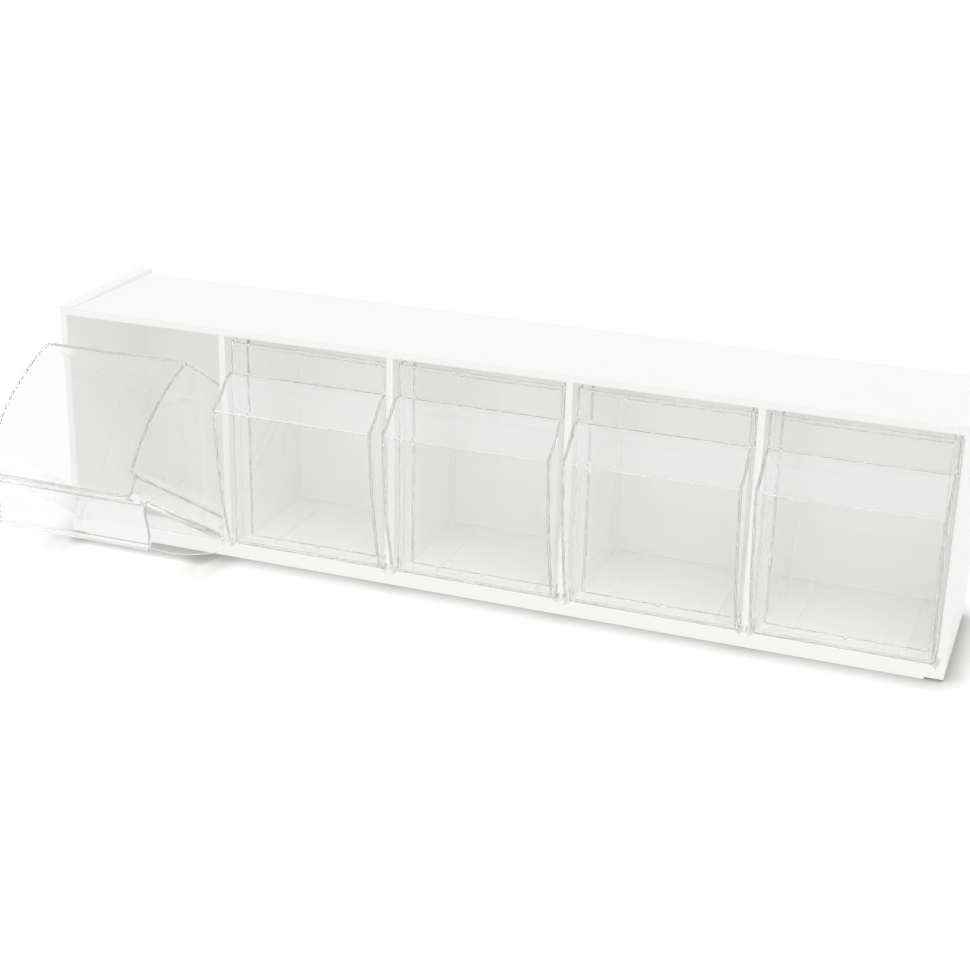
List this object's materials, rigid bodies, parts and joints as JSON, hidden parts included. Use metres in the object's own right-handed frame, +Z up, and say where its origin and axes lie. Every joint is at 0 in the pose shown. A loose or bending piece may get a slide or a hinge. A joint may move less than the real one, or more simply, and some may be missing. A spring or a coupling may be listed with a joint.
{
  "type": "tilt bin organizer",
  "caption": "Wide housing with a row of clear tip-out bins for small parts, each hinged at its lower front edge with a handle hood and a stop.",
  "frame": {"origin": "middle of the housing's underside, halfway between its front and back planes", "axes": "+X along the row of bins to the right seen from the front, +Y to the back, +Z up"},
  "size_m": [0.6, 0.2178, 0.164],
  "materials": {
    "white_plastic": "smooth opaque white moulded polystyrene with a soft gloss",
    "clear_plastic": "polished crystal clear moulded polystyrene"
  },
  "bodies": {
    "housing": {"housing": "white_plastic"},
    "bin_1": {"bin_1": "clear_plastic"},
    "bin_2": {"bin_2": "clear_plastic"},
    "bin_3": {"bin_3": "clear_plastic"},
    "bin_4": {"bin_4": "clear_plastic"},
    "bin_5": {"bin_5": "clear_plastic"}
  },
  "joints": [
    {"name": "bin_1_tilt", "type": "hinge", "parent": "housing", "child": "bin_1", "pos_m": [-0.2378, -0.045, 0.012], "axis": [1, 0, 0], "range_deg": [-58, 0]},
    {"name": "bin_2_tilt", "type": "hinge", "parent": "housing", "child": "bin_2", "pos_m": [-0.1189, -0.045, 0.012], "axis": [1, 0, 0], "range_deg": [0, 58]},
    {"name": "bin_3_tilt", "type": "hinge", "parent": "housing", "child": "bin_3", "pos_m": [0, -0.045, 0.012], "axis": [1, 0, 0], "range_deg": [0, 58]},
    {"name": "bin_4_tilt", "type": "hinge", "parent": "housing", "child": "bin_4", "pos_m": [0.1189, -0.045, 0.012], "axis": [1, 0, 0], "range_deg": [0, 58]},
    {"name": "bin_5_tilt", "type": "hinge", "parent": "housing", "child": "bin_5", "pos_m": [0.2378, -0.045, 0.012], "axis": [1, 0, 0], "range_deg": [0, 58]}
  ]
}
